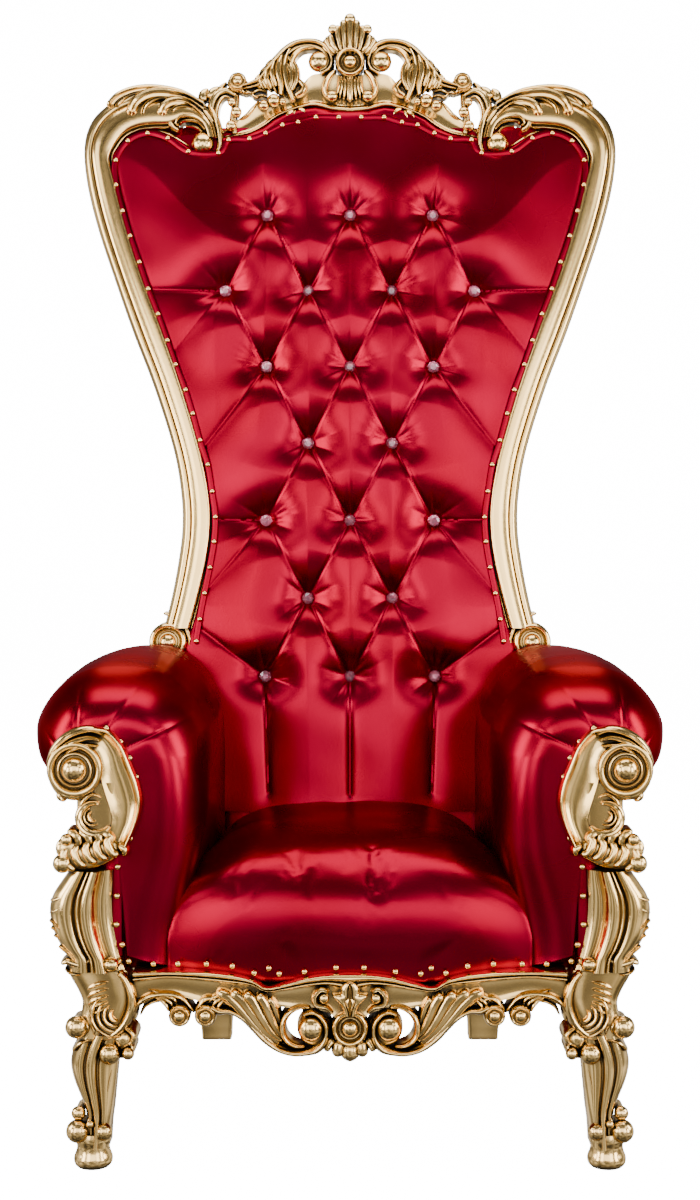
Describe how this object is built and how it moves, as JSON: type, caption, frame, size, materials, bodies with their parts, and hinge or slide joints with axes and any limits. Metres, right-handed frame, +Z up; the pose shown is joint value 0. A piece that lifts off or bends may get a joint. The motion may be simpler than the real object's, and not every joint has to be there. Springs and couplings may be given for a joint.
{
  "type": "throne",
  "caption": "High-backed armchair throne with a carved gilded frame, a button-tufted satin back, rolled padded arms and a padded seat.",
  "frame": {"origin": "on the floor, under the middle of the throne's bounding box", "axes": "+X to the viewer's right, +Y towards the back, +Z up; the front faces -Y"},
  "size_m": [0.956, 0.8472, 1.836],
  "materials": {
    "gilt_carving": "carved and finished in polished gold leaf",
    "red_satin": "padded glossy satin",
    "crystal": "faceted and clear over a pink foil"
  },
  "bodies": {
    "root": {"crest_rail": "gilt_carving", "back_stile_right": "gilt_carving", "back_stile_left": "gilt_carving", "arm_front_right": "gilt_carving", "arm_front_left": "gilt_carving", "front_leg_right": "gilt_carving", "front_leg_left": "gilt_carving", "front_apron": "gilt_carving", "back_post_right": "gilt_carving", "back_post_left": "gilt_carving", "side_rail_right": "gilt_carving", "side_rail_left": "gilt_carving", "rear_rail": "gilt_carving", "back_pad": "red_satin", "outer_back": "red_satin", "seat_cushion": "red_satin", "arm_pad_right": "red_satin", "arm_pad_left": "red_satin", "button_1_1": "crystal", "button_1_2": "crystal", "button_1_3": "crystal", "button_2_1": "crystal", "button_2_2": "crystal", "button_2_3": "crystal", "button_2_4": "crystal", "button_3_1": "crystal", "button_3_2": "crystal", "button_3_3": "crystal", "button_4_1": "crystal", "button_4_2": "crystal", "button_5_1": "crystal", "button_5_2": "crystal", "button_5_3": "crystal", "button_6_1": "crystal", "button_6_2": "crystal", "button_7_1": "crystal", "button_7_2": "crystal", "button_7_3": "crystal"}
  },
  "joints": []
}
